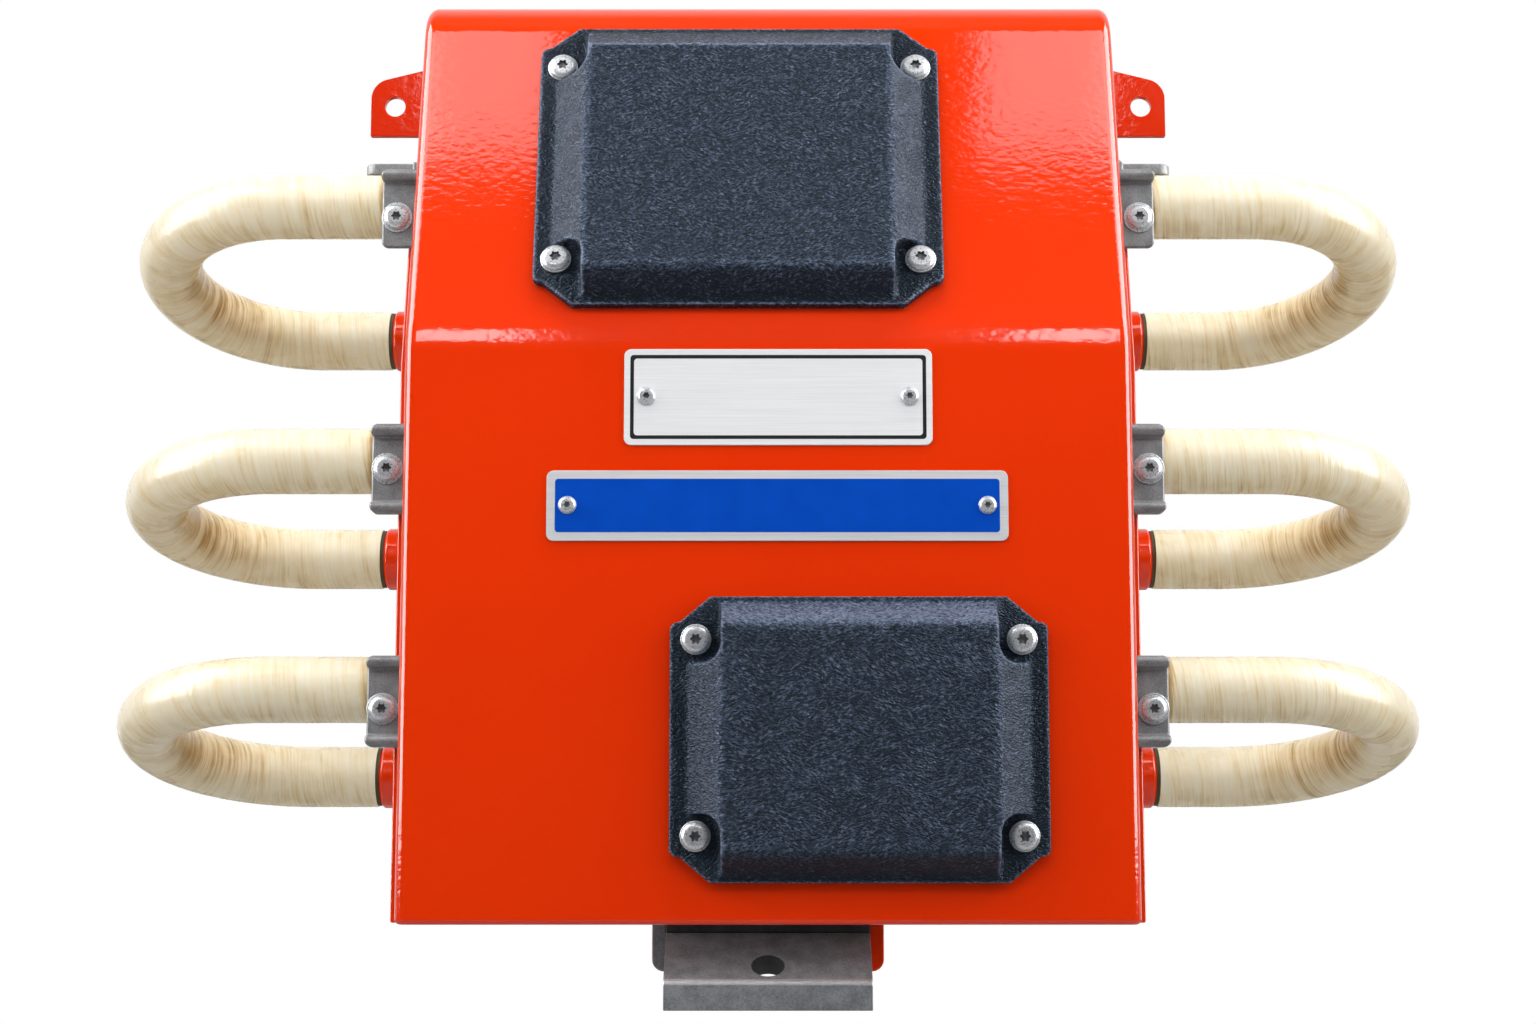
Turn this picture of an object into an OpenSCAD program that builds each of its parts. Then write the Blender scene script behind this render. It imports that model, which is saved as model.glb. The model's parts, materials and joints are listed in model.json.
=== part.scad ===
// Small wall-hung three-phase transformer. A folded sheet-metal cover wraps the front and top of a closed tank.
// Six taped conductor loops leave the sides, two terminal covers and two plates sit on the front, and a bent
// steel foot hangs under the bottom. The origin is on the wall, midway between the two ear holes.
// X is to the right, Y points into the wall and Z is up. Lengths are millimetres.

/* [Housing] */
// Width over the front cover
housing_w = 300; // [260:1:340]
// Height from the bottom edge to the top face
housing_h = 400; // [390:1:460]
// Depth from the wall to the upright front panel
housing_d = 200; // [180:1:260]
// Height of the fold between the upright and the leaning front panel
fold_z = 240; // [236:1:246]
// How far the upper front panel leans back over the height below
lean_back = 7; // [5:0.5:8]
// Height over which the upper front panel leans back by that much
lean_up = 24; // [22:0.5:30]
// Outer radius of the fold
fold_r = 50; // [30:1:60]
// Outer radius of the top front edge
top_r = 24; // [20:1:32]
// Outer radius of the cover's upright edges
edge_r = 5; // [4:0.5:10]
// Thickness of the cover sheet
sheet = 3; // [2:0.5:4]
// Depth of the cover's side returns
return_d = 16; // [12:1:18]
// Step from the cover's edge in to the tank's side
side_step = 1; // [0.5:0.5:3]
// Gap between the cover and the tank inside it
cover_gap = 0.5; // [0.3:0.1:1]

/* [Back plate] */
// Thickness of the back plate
back_t = 4; // [3:0.5:8]
// Height of the back plate above the housing's top
back_rise = 20; // [10:1:30]
// Distance between the two ear holes
ear_span = 370; // [360:1:440]
// Drop from the housing's top face to the ear holes
ear_hole_down = 4; // [0:0.5:10]
// Diameter of the ear holes
ear_hole_d = 10; // [7:0.5:13]
// Distance from an ear hole to the ear's outer edge
ear_edge = 12; // [10:0.5:16]
// Distance from an ear hole down to the ear's lower edge
ear_drop = 15; // [12:0.5:20]
// Slope of the ear's upper edge, in degrees
ear_slope = 14; // [8:1:18]
// Radius of the ear's outer upper corner
ear_r = 10; // [6:0.5:11]

/* [Side rails] */
// How far the rails stand out past the cover's edge
rail_out = 6; // [4:0.5:10]

/* [Conductor loops] */
// Diameter of the taped conductor
tape_d = 28; // [22:0.5:30]
// Straight length of a rear strand between its seal ring and the bend
strand_l = 31.1; // [15:0.1:60]
// Drop from the front strand to the rear strand of the lower loops
lower_loop_drop = 33; // [20:0.5:40]
// Drop from the front strand to the rear strand of the middle loops
middle_loop_drop = 28.5; // [20:0.5:40]
// Drop from the front strand to the rear strand of the upper loops
upper_loop_drop = 36; // [20:0.5:40]
// Middle height of the lower loops
lower_loop_z = 80.5; // [74:0.5:84]
// Middle height of the middle loops
middle_loop_z = 180.5; // [174:0.5:186]
// Middle height of the upper loops
upper_loop_z = 292; // [286:1:296]
// Distance from the wall to the rear strand of the lower and middle loops
rear_strand_y = 34; // [28:1:40]
// Distance from the wall to the rear strand of the upper loops
upper_rear_strand_y = 20; // [20:1:26]
// Distance from the front panel back to the front strand of the lower and middle loops
front_strand_y = 48; // [46:1:56]
// Distance from the front panel back to the front strand of the upper loops
upper_front_strand_y = 62; // [60:1:70]

/* [Collars] */
// Length of the collars that the rear strands enter
collar_l = 24; // [18:1:32]
// How much wider a collar is than the taped conductor
collar_over = 1; // [0.5:0.5:3]
// Bevel at a collar's outer end
collar_bevel = 1.5; // [1:0.5:3]
// Thickness of the seal ring between a collar and the conductor
seal_t = 1.5; // [1:0.5:3]
// How much narrower a seal ring is than the conductor
seal_under = 1; // [0.5:0.5:3]

/* [Clamps] */
// Thickness of the clamp plate
clamp_t = 3; // [2:0.5:4]
// Width of the clamps past the rail's face
clamp_w = 11; // [10:0.5:16]
// Height of the lower and middle clamps
clamp_h = 38; // [34:1:42]
// Height of the upper clamps, from the tongue's underside down
upper_clamp_h = 36.5; // [34:0.5:40]
// How far the middle of a lower or middle clamp lies below its strand
clamp_low = 6; // [3:0.5:8]
// Height of the clamp's lips
lip_h = 5; // [4:0.5:6]
// How far the lips stand forward of the clamp plate
lip_out = 5; // [3:0.5:7]
// Radius of the clamp's outer corners
clamp_r = 3; // [1.5:0.5:5]
// Gap between a clamp and its strand
clamp_gap = 0.3; // [0.2:0.1:0.6]
// Length of the tongue over the upper loops, past the rail's face
tongue_l = 21; // [16:1:26]
// Width of the tongue
tongue_w = 16; // [12:0.5:18]
// Thickness of the tongue
tongue_t = 5; // [4:0.5:8]
// Gap between the tongue and the upper clamp's lip
tongue_gap = 2.5; // [1:0.5:4]
// Width of the neck between the tongue and the upper clamp's plate
neck_w = 4; // [3:0.5:5]

/* [Terminal covers] */
// Width of the lower cover
lower_cover_w = 153; // [140:1:165]
// Height of the lower cover
lower_cover_h = 115; // [105:1:122]
// Sideways place of the lower cover
lower_cover_x = 36.7; // [10:0.1:45]
// Middle height of the lower cover
lower_cover_z = 74; // [66:1:82]
// Width of the upper cover
upper_cover_w = 171; // [150:1:190]
// Height of the upper cover along the leaning panel
upper_cover_h = 136; // [120:1:138]
// Sideways place of the upper cover
upper_cover_x = -12.4; // [-20:0.1:20]
// Distance from the fold up to the middle of the upper cover, along the panel
upper_cover_s = 80; // [76:0.5:80.5]
// Thickness of a cover's flange
flange_t = 5; // [4:0.5:8]
// Width of the cut at the flange's corners
corner_w = 12.5; // [8:0.5:15]
// Height of the cut at the flange's corners
corner_h = 10.5; // [7:0.5:13]
// Width of the small shoulder beside each corner cut
shoulder = 4; // [2:0.5:5]
// Height of the raised block above the flange
block_t = 12; // [9:0.5:16]
// Flange left showing at each side of the block
side_border = 7.3; // [6:0.1:9]
// Flange left showing above and below the block
end_border = 2.2; // [1:0.1:3]
// Width of the block's sloping sides
side_slope = 13.5; // [10:0.5:16]
// Height of the block's sloping ends
end_slope = 9.5; // [6:0.5:12]
// Radius along the block's front edges
block_r = 5; // [2:0.5:6]
// Height of the screw recesses at the block's corners, measured from the flange's end
recess_h = 27.5; // [22:0.5:30]
// Radius inside the screw recesses
recess_r = 8; // [5:0.5:9]

/* [Plates] */
// Thickness of the plates
plate_t = 1; // [0.8:0.1:2]
// Width of the silver plate
silver_w = 126.5; // [110:0.5:140]
// Height of the silver plate
silver_h = 40; // [34:0.5:42]
// Sideways place of the silver plate
silver_x = 4.2; // [-10:0.1:10]
// Middle height of the silver plate
silver_z = 214; // [213:0.5:214]
// Width of the blue plate
blue_w = 188.5; // [170:0.5:200]
// Height of the blue plate
blue_h = 29; // [24:0.5:30]
// Sideways place of the blue plate
blue_x = 3.8; // [-10:0.1:10]
// Middle height of the blue plate
blue_z = 169; // [160:0.5:170]
// Radius of the plates' corners
plate_r = 3; // [1:0.5:5]

/* [Foot] */
// Width of the foot
foot_w = 84; // [70:1:100]
// Thickness of the foot's bar
foot_t = 10; // [8:0.5:12]
// Slope of the foot, in degrees
foot_slope = 36; // [25:1:42]
// Distance from the front panel back to the foot's front face
foot_front = 5; // [2:0.5:12]
// Height of the foot's underside below the housing's bottom edge
foot_low = 34; // [32:1:40]
// Height of the bevel along the foot's front edge
foot_bevel_h = 2.5; // [1.5:0.5:4]
// Depth of that bevel
foot_bevel_d = 1.3; // [0.8:0.1:2]
// Distance from the front panel back to the foot's rear end
foot_back = 110; // [90:1:140]
// Diameter of the hole in the foot
foot_hole_d = 13.5; // [9:0.5:14]
// Distance from the foot's front face back to the middle of the hole
foot_hole_y = 8.3; // [8:0.1:11]
// Thickness of the spacer between the foot and the housing
spacer_t = 4; // [2:0.5:6]
// Thickness of the gussets beside the foot
gusset_t = 6; // [4:0.5:8]
// Height of the gussets
gusset_h = 20; // [15:0.5:22]
// Distance from the front panel back to the gussets' front edge
gusset_front = 38; // [34:1:46]
// Radius of the gussets' lower outer edge
gusset_r = 5; // [2:0.5:5.5]

/* [Hidden] */
$fn = 64;

orange = [0.90, 0.16, 0.02];
black = [0.07, 0.08, 0.10];
tape = [0.85, 0.77, 0.62];
zinc = [0.60, 0.62, 0.64];
iron = [0.32, 0.33, 0.35];
rubber = [0.15, 0.10, 0.07];

LEFT = -1;
RIGHT = 1;
LEVELS = ["lower", "middle", "upper"];
UPPER = 2;

// Reach of a cut past the face that it opens
past = 1;

// Steps round the cover's upright edges, its fold and its top edge
edge_steps = 8;
fold_steps = 6;
top_steps = 14;

// The front panels and the top, seen from the side: depth behind the front panel, then height
lean = atan2(lean_back, lean_up);
fold_tangent = fold_r * tan(lean / 2);
fold_centre = [fold_r, fold_z - fold_tangent];
panel_up = [sin(lean), cos(lean)];
panel_out = [-cos(lean), sin(lean)];
top_start_z = housing_h - top_r + top_r * sin(lean);
panel_l = (top_start_z - fold_z) / cos(lean);
top_centre = [0, fold_z] + panel_l * panel_up - top_r * panel_out;
body_back = housing_d - back_t;

ear_hole_z = housing_h - ear_hole_down;
tank_half = housing_w / 2 - side_step;
plug_half = housing_w / 2 - sheet - cover_gap;

// Loop values, from the lower level to the upper
loop_z = [lower_loop_z, middle_loop_z, upper_loop_z];
loop_drop = [lower_loop_drop, middle_loop_drop, upper_loop_drop];
loop_rear_y = [-rear_strand_y, -rear_strand_y, -upper_rear_strand_y];
loop_front_y = [for (back = [front_strand_y, front_strand_y, upper_front_strand_y]) back - housing_d];

// The rails reach forward to the lower and middle clamps and up to the tongues of the upper clamps
clamp_back = tape_d / 2 + clamp_gap;
rail_face = housing_w / 2 + rail_out;
rail_h = front_z(UPPER) + clamp_back;
upper_clamp_low = rail_h - upper_clamp_h;
upper_clamp_back = upper_front_strand_y - clamp_back;
rail_inset = max(
    front_strand_y - clamp_back,
    (upper_clamp_back - (upper_clamp_low - fold_z) * tan(lean)) * cos(lean)
);
rear_start = rail_face + collar_l + seal_t;
bend_x = rear_start + strand_l;
clamp_start = housing_w / 2 + clamp_gap;
clamp_reach = rail_face + clamp_w - clamp_start;

function loop_span(level) = loop_rear_y[level] - loop_front_y[level];
function bend_r(level) = norm([loop_span(level), loop_drop[level]]) / 2;
function loop_tilt(level) = atan2(loop_drop[level], loop_span(level));
function front_z(level) = loop_z[level] + loop_drop[level] / 2;
function rear_z(level) = loop_z[level] - loop_drop[level] / 2;
function side_name(side) = side == LEFT ? "left" : "right";
function part_name(level, side, piece) = str(LEVELS[level], "_", side_name(side), "_", piece);

// Carries a shape measured from the housing's bottom edge to the origin between the ear holes
module from_bottom() {
    translate([0, 0, -ear_hole_z]) children();
}

// Lays a shape drawn flat, with depth behind the front panel across and height up, across the housing
module across(width) {
    translate([-width / 2, -housing_d, 0])
        rotate([90, 0, 90])
            linear_extrude(width) children();
}

// Rectangle about its middle with round corners
module round_rectangle(width, height, radius) {
    square([width - 2 * radius, height], center = true);
    square([width, height - 2 * radius], center = true);
    for (x = [-1, 1], y = [-1, 1])
        translate([x * (width / 2 - radius), y * (height / 2 - radius)]) circle(radius);
}

// Side view of the body behind the front panels and the top, set in by one distance
module side_outline(inset) {
    lower_end = [inset, fold_centre[1]];
    upper_start = fold_centre + (fold_r - inset) * panel_out;
    upper_end = top_centre + (top_r - inset) * panel_out;
    top_start = [top_centre[0], housing_h - inset];
    polygon([
        [body_back, 0], [inset, 0], lower_end, upper_start, upper_end, top_centre, top_start,
        [body_back, housing_h - inset]
    ]);
    translate(top_centre) circle(top_r - inset);
}

module tank() {
    color(orange) from_bottom() {
        across(2 * tank_half) side_outline(return_d + cover_gap);
        across(2 * plug_half) side_outline(sheet + cover_gap);
    }
}

// Points of an arc about a centre
function arc(centre, radius, from, to, steps) = [
    for (step = [0:steps])
        let (angle = from + (to - from) * step / steps)
            centre + radius * [cos(angle), sin(angle)]
];

// Section of the cover: out from the outer face, then across, with round edges and a return at each side
function cover_section() =
    let (half = housing_w / 2, inner = half - sheet, round_middle = half - edge_r)
        concat(
            [[-return_d, -inner], [-return_d, -half]],
            arc([-edge_r, -round_middle], edge_r, -90, 0, edge_steps),
            arc([-edge_r, round_middle], edge_r, 0, 90, edge_steps),
            [[-return_d, half], [-return_d, inner], [-sheet, inner], [-sheet, -inner]]
        );

// Direction out of the cover where it leans by an angle: depth, then height
function outwards(angle) = [-cos(angle), sin(angle)];

// Places along the cover from the bottom edge to the back: depth, height and lean
function cover_places() = concat(
    [[0, 0, 0]],
    bend_places(fold_centre, fold_r, 0, lean, fold_steps),
    bend_places(top_centre, top_r, lean, 90, top_steps),
    [[body_back, housing_h, 90]]
);

function bend_places(centre, radius, from, to, steps) = [
    for (step = [0:steps])
        let (angle = from + (to - from) * step / steps)
            concat(centre + radius * outwards(angle), angle)
];

// Section point carried to one place along the cover
function cover_point(place, point) =
    let (side_view = [place[0], place[1]] + point[0] * outwards(place[2]))
        [point[1], side_view[0], side_view[1]];

// One sheet swept from the bottom edge up the front, round the fold and over the top to the back plate
module front_cover() {
    section = cover_section();
    places = cover_places();
    count = len(section);
    last = len(places) - 1;
    points = [for (place = places, point = section) cover_point(place, point)];
    walls = [
        for (row = [0:last - 1], column = [0:count - 1])
            let (next = (column + 1) % count)
                [
                    row * count + column, (row + 1) * count + column,
                    (row + 1) * count + next, row * count + next
                ]
    ];
    lower_end = [for (column = [0:count - 1]) column];
    back_end = [for (column = [count - 1:-1:0]) last * count + column];
    color(orange) from_bottom()
        translate([0, -housing_d, 0]) polyhedron(points, concat([lower_end, back_end], walls));
}

// Ear at one side of the back plate, seen from the back, with its outer upper corner round
module ear_outline() {
    outer = ear_span / 2 + ear_edge;
    low = ear_hole_z - ear_drop;
    plate_top = housing_h + back_rise;
    slope_end = plate_top - (outer - tank_half) * tan(ear_slope);
    corner_tangent = ear_r * tan(45 - ear_slope / 2);
    corner_centre = [outer - ear_r, slope_end - corner_tangent];
    slope_start = corner_centre + ear_r * [sin(ear_slope), cos(ear_slope)];
    polygon([
        [0, low], [outer, low], [outer, corner_centre[1]], corner_centre, slope_start,
        [tank_half, plate_top], [0, plate_top]
    ]);
    translate(corner_centre) circle(ear_r);
}

module back_plate() {
    color(orange) from_bottom()
        rotate([90, 0, 0])
            linear_extrude(back_t)
                difference() {
                    union() {
                        translate([-tank_half, 0]) square([2 * tank_half, housing_h + back_rise]);
                        for (side = [0, 1]) mirror([side, 0]) ear_outline();
                    }
                    for (side = [LEFT, RIGHT])
                        translate([side * ear_span / 2, ear_hole_z]) circle(d = ear_hole_d);
                }
}

// Side view of a rail, whose front edge follows the front panels
module rail_outline() {
    knee_z = fold_z - rail_inset * tan(lean / 2);
    top_y = rail_inset + (rail_h - knee_z) * tan(lean);
    polygon([[body_back, 0], [rail_inset, 0], [rail_inset, knee_z], [top_y, rail_h], [body_back, rail_h]]);
}

module rail(side) {
    thickness = rail_face - tank_half;
    color(orange) from_bottom()
        translate([side * (tank_half + thickness / 2), 0, 0]) across(thickness) rail_outline();
}

// Places a shape that is built on the right side of the housing on one of its sides
module on_side(side) {
    from_bottom() mirror([side == LEFT ? 1 : 0, 0, 0]) children();
}

// Half turn of the conductor with a straight strand from each of its ends back to the housing
module conductor_loop(level, side) {
    radius = bend_r(level);
    color(tape) on_side(side)
        translate([bend_x, (loop_front_y[level] + loop_rear_y[level]) / 2, loop_z[level]])
            rotate([-loop_tilt(level), 0, 0])
                rotate([0, 0, -90]) {
                    rotate_extrude(angle = 180) translate([radius, 0]) circle(d = tape_d);
                    translate([radius, 0, 0]) rotate([90, 0, 0]) cylinder(d = tape_d, h = bend_x - rail_face);
                    translate([-radius, 0, 0]) rotate([90, 0, 0]) cylinder(d = tape_d, h = strand_l);
                }
}

// Lays a turned shape along the rear strand of one loop, from the rail outwards
module on_rear_strand(level) {
    translate([rail_face, loop_rear_y[level], rear_z(level)]) rotate([0, 90, 0]) children();
}

module collar(level, side) {
    radius = (tape_d + collar_over) / 2;
    color(orange) on_side(side) on_rear_strand(level)
        rotate_extrude()
            polygon([
                [0, 0], [radius, 0], [radius, collar_l - collar_bevel],
                [radius - collar_bevel, collar_l], [0, collar_l]
            ]);
}

module seal_rings(side) {
    color(rubber) on_side(side)
        for (level = [0:UPPER])
            on_rear_strand(level) translate([0, 0, collar_l]) cylinder(d = tape_d - seal_under, h = seal_t);
}

// Lip of a clamp seen from the side, with its front end round
module lip_outline(height) {
    translate([-lip_out + height / 2, -height / 2]) square([lip_out + clamp_t - height / 2, height]);
    translate([-lip_out + height / 2, 0]) circle(d = height);
}

// Plate of a clamp between two heights, with its lips, against the front of the strand
module clamp_plate(strand_front, low, high, lip_heights) {
    intersection() {
        translate([clamp_start, strand_front - clamp_t, 0])
            rotate([90, 0, 90])
                linear_extrude(clamp_reach) {
                    translate([0, low]) square([clamp_t, high - low]);
                    for (height = lip_heights) translate([0, height]) lip_outline(lip_h);
                }
        translate([clamp_start, strand_front + past, (low + high) / 2])
            rotate([90, 0, 0])
                linear_extrude(clamp_t + lip_out + 2 * past)
                    round_rectangle(2 * clamp_reach, high - low, clamp_r);
    }
}

// Finger over an upper strand, joined to the clamp plate by a neck beside the housing
module tongue(strand_front, plate_high, under) {
    length = rail_face + tongue_l - clamp_start;
    finger_y = clamp_back - tongue_t / 2;
    translate([clamp_start, strand_front, 0]) {
        translate([0, 0, under])
            linear_extrude(tongue_t) {
                translate([0, -clamp_t]) square([neck_w, clamp_t + finger_y + tongue_w]);
                intersection() {
                    translate([0, finger_y + tongue_w / 2]) round_rectangle(2 * length, tongue_w, tongue_t);
                    translate([0, finger_y]) square([length, tongue_w]);
                }
            }
        translate([0, -clamp_t, plate_high - lip_h]) cube([neck_w, clamp_t, under + past - plate_high + lip_h]);
    }
}

module clamp(level, side) {
    strand_front = loop_front_y[level] - clamp_back;
    color(zinc) on_side(side)
        if (level == UPPER) {
            plate_high = rail_h - tongue_gap;
            clamp_plate(strand_front, upper_clamp_low, plate_high, [plate_high - lip_h / 2]);
            tongue(strand_front, plate_high, rail_h);
        } else {
            low = front_z(level) - clamp_low - clamp_h / 2;
            high = low + clamp_h;
            clamp_plate(strand_front, low, high, [low + lip_h / 2, high - lip_h / 2]);
        }
}

// Plan of a cover's flange, with cut corners and a small shoulder beside each cut
module flange_plan(width, height) {
    side = width / 2;
    end = height / 2;
    for (x = [0, 1], y = [0, 1])
        mirror([x, 0]) mirror([0, y])
            polygon([
                [0, 0], [side, 0], [side, end - corner_h - shoulder / 2],
                [side - shoulder / 2, end - corner_h], [side - shoulder, end - corner_h],
                [side - shoulder - corner_w, end], [0, end]
            ]);
}

// Section of the raised block: wide at the flange, narrower in front, with round front edges
module block_section(width, slope) {
    slope_angle = atan2(slope, block_t);
    top_half = width / 2 - slope;
    edge_tangent = block_r * tan(45 - slope_angle / 2);
    edge_centre = [top_half - edge_tangent, block_t - block_r];
    slope_end = edge_centre + block_r * [cos(slope_angle), sin(slope_angle)];
    for (side = [0, 1])
        mirror([side, 0]) {
            polygon([
                [0, 0], [width / 2, 0], slope_end, edge_centre, [edge_centre[0], block_t], [0, block_t]
            ]);
            translate(edge_centre) circle(block_r);
        }
}

// Corner of the plan left free for a screw, from its inner round corner outwards
module recess_plan(column, wing, reach) {
    translate([column + recess_r, wing]) square(reach);
    translate([column, wing + recess_r]) square(reach);
    translate([column + recess_r, wing + recess_r]) circle(recess_r);
}

// Moulded cover, built lying on its back: width along x, height along y, outwards along z
module terminal_cover(width, height) {
    block_w = width - 2 * side_border;
    block_h = height - 2 * end_border;
    column = block_w / 2 - side_slope;
    wing = height / 2 - recess_h;
    linear_extrude(flange_t) flange_plan(width, height);
    translate([0, 0, flange_t])
        difference() {
            intersection() {
                translate([0, block_h / 2, 0]) rotate([90, 0, 0])
                    linear_extrude(block_h) block_section(block_w, side_slope);
                translate([-block_w / 2, 0, 0]) rotate([90, 0, 90])
                    linear_extrude(block_w) block_section(block_h, end_slope);
            }
            for (x = [0, 1], y = [0, 1])
                mirror([x, 0, 0]) mirror([0, y, 0])
                    linear_extrude(block_t + past) recess_plan(column, wing, height);
        }
}

module lower_terminal_cover() {
    color(black) from_bottom()
        translate([lower_cover_x, -housing_d, lower_cover_z]) rotate([90, 0, 0])
            terminal_cover(lower_cover_w, lower_cover_h);
}

module upper_terminal_cover() {
    color(black) from_bottom()
        translate([upper_cover_x, -housing_d, fold_z]) rotate([90 - lean, 0, 0])
            translate([0, upper_cover_s, 0]) terminal_cover(upper_cover_w, upper_cover_h);
}

module front_plate(x, z, width, height) {
    from_bottom()
        translate([x, -housing_d, z]) rotate([90, 0, 0])
            linear_extrude(plate_t) round_rectangle(width, height, plate_r);
}

module silver_plate() {
    color("silver") front_plate(silver_x, silver_z, silver_w, silver_h);
}

module blue_plate() {
    color([0.02, 0.15, 0.62]) front_plate(blue_x, blue_z, blue_w, blue_h);
}

// The foot's bar from the side: level under the spacer, sloping down to an upright front face
module foot_outline() {
    rise = tan(foot_slope);
    drop = foot_t / cos(foot_slope);
    toe_z = foot_t - foot_low;
    slope_y = foot_front + foot_bevel_d;
    slope_z = toe_z + foot_bevel_h;
    under_y = slope_y + (drop - foot_low - slope_z) / rise;
    polygon([
        [foot_front, -foot_low], [max(under_y, foot_front), -foot_low],
        [slope_y + (drop - spacer_t - foot_t - slope_z) / rise, -spacer_t - foot_t],
        [foot_back, -spacer_t - foot_t], [foot_back, -spacer_t],
        [slope_y + (-spacer_t - slope_z) / rise, -spacer_t], [slope_y, slope_z], [foot_front, toe_z]
    ]);
}

module foot() {
    hole_y = foot_front + foot_hole_y;
    hole_z = foot_t - foot_low + foot_bevel_h + (foot_hole_y - foot_bevel_d) * tan(foot_slope);
    color(iron) from_bottom()
        difference() {
            across(foot_w) foot_outline();
            translate([0, hole_y - housing_d, hole_z]) rotate([foot_slope, 0, 0])
                cylinder(d = foot_hole_d, h = 4 * foot_t, center = true);
        }
}

module foot_spacer() {
    slope_top = foot_front + foot_bevel_d
        + (foot_low - foot_t - foot_bevel_h - spacer_t) / tan(foot_slope);
    color(iron) from_bottom()
        translate([-foot_w / 2, slope_top - housing_d, -spacer_t])
            cube([foot_w, foot_back - slope_top, spacer_t]);
}

module gusset(side) {
    color(orange) on_side(side)
        translate([foot_w / 2, gusset_front - housing_d, 0])
            rotate([90, 0, 0]) mirror([0, 0, 1])
                linear_extrude(foot_back - gusset_front)
                    intersection() {
                        translate([0, -gusset_h]) square([gusset_t, gusset_h]);
                        round_rectangle(2 * gusset_t, 2 * gusset_h, gusset_r);
                    }
}

tank();
front_cover();
back_plate();
rail(LEFT);  // left_rail
rail(RIGHT);  // right_rail
for (level = [0:UPPER], side = [LEFT, RIGHT]) {
    conductor_loop(level, side);
    collar(level, side);
    clamp(level, side);
}
seal_rings(LEFT);  // left_seal_rings
seal_rings(RIGHT);  // right_seal_rings
lower_terminal_cover();
upper_terminal_cover();
silver_plate();
blue_plate();
foot();
foot_spacer();
gusset(LEFT);  // left_gusset
gusset(RIGHT);  // right_gusset
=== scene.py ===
"""Dresses the wall-hung transformer with soft edges, taped loops, grained covers, screws and finishes."""
import json
import math
import random

import bmesh
import bpy
from mathutils import Matrix, Vector

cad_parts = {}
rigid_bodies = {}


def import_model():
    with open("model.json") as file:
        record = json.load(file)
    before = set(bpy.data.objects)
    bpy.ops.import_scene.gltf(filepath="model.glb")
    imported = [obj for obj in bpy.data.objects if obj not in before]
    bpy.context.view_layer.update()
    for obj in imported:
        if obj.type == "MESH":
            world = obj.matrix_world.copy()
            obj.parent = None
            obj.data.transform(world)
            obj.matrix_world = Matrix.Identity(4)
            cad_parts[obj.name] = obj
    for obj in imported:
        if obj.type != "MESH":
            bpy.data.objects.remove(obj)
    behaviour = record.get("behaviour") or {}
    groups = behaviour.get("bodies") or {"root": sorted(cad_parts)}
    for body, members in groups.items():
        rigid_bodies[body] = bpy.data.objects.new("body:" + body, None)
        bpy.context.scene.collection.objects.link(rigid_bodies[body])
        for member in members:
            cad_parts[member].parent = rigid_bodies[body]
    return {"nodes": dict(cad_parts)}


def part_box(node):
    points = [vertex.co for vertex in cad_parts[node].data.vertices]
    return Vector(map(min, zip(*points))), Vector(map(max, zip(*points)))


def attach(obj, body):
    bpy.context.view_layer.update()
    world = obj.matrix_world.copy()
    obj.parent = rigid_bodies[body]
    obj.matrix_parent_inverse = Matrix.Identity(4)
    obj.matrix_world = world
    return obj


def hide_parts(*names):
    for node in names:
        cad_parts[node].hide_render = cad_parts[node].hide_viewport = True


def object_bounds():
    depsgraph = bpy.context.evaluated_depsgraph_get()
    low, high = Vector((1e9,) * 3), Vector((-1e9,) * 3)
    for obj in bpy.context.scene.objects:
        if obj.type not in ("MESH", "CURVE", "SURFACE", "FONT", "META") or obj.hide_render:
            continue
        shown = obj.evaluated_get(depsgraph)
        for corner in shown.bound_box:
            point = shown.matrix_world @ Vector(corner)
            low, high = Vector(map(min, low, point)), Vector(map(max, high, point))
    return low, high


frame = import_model()
cad_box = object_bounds()

MM = 0.001
SIDES = {"left": -1, "right": 1}
LEVELS = ("lower", "middle", "upper")
RIGHT = Vector((1, 0, 0))
UP = Vector((0, 0, 1))
FRONT_OUT = Vector((0, -1, 0))

# The housing's front face, bottom edge and size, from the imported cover
housing_low, housing_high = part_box("front_cover")
FRONT = housing_low.y
BOTTOM = housing_low.z
HALF_WIDTH = housing_high.x / MM
HEIGHT = (housing_high.z - housing_low.z) / MM
DEPTH = (housing_high.y - housing_low.y) / MM

# The folded cover, in millimetres, as the solid has it
FOLD_HEIGHT = 240
FOLD_RADIUS = 50
TOP_RADIUS = 24
EDGE_RADIUS = 5
SHEET = 3
RETURN_DEPTH = 16
RIM_RADIUS = 2.4
LEAN_BACK = 7
LEAN_UP = 24
LEAN = math.atan2(LEAN_BACK, LEAN_UP)
PANEL_UP = Vector((0, math.sin(LEAN), math.cos(LEAN)))
PANEL_OUT = Vector((0, -math.cos(LEAN), math.sin(LEAN)))


def place(x, depth, height):
    """Point from millimetres: sideways, behind the front panel, above the bottom edge."""
    return Vector((x * MM, FRONT + depth * MM, BOTTOM + height * MM))


def on_leaning_panel(x, along):
    """Point on the leaning panel, at a distance along it from the fold."""
    return place(x, 0, FOLD_HEIGHT) + PANEL_UP * along * MM


# Node helpers, with the range that most of a noise lies in

NOISE_LOW = 0.3
NOISE_HIGH = 0.7


def add(tree, kind, settings=None, **inputs):
    """Add a shader node; plain values go on its sockets and other nodes' outputs are linked to them."""
    node = tree.nodes.new("ShaderNode" + kind)
    for name, value in (settings or {}).items():
        setattr(node, name, value)
    for name, value in inputs.items():
        connect(tree, node.inputs[name.replace("_", " ")], value)
    return node


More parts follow.
